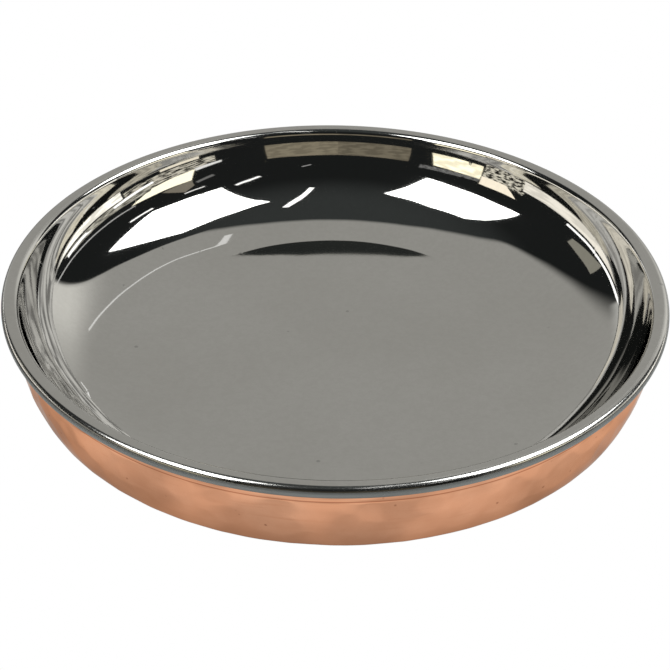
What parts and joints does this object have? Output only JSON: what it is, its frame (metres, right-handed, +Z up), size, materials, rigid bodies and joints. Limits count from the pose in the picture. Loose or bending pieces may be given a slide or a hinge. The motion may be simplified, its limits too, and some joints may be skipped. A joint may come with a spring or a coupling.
{
  "type": "round serving tray",
  "caption": "Shallow round serving tray: a mirror-polished steel dish in a hammered copper shell, joined by a rolled rim.",
  "frame": {"origin": "centre of the flat base, on the plane the tray stands on", "axes": "+Z up along the tray's axis, +X to the right, -Y towards the viewer"},
  "size_m": [0.2, 0.2, 0.0278],
  "materials": {
    "polished_steel": "mirror-polished stainless steel with fine wiping scratches and a few pits",
    "hammered_copper": "hand-hammered copper in soft overlapping facets, polished, lightly toned"
  },
  "bodies": {
    "root": {"steel_liner": "polished_steel", "copper_shell": "hammered_copper"}
  },
  "joints": []
}
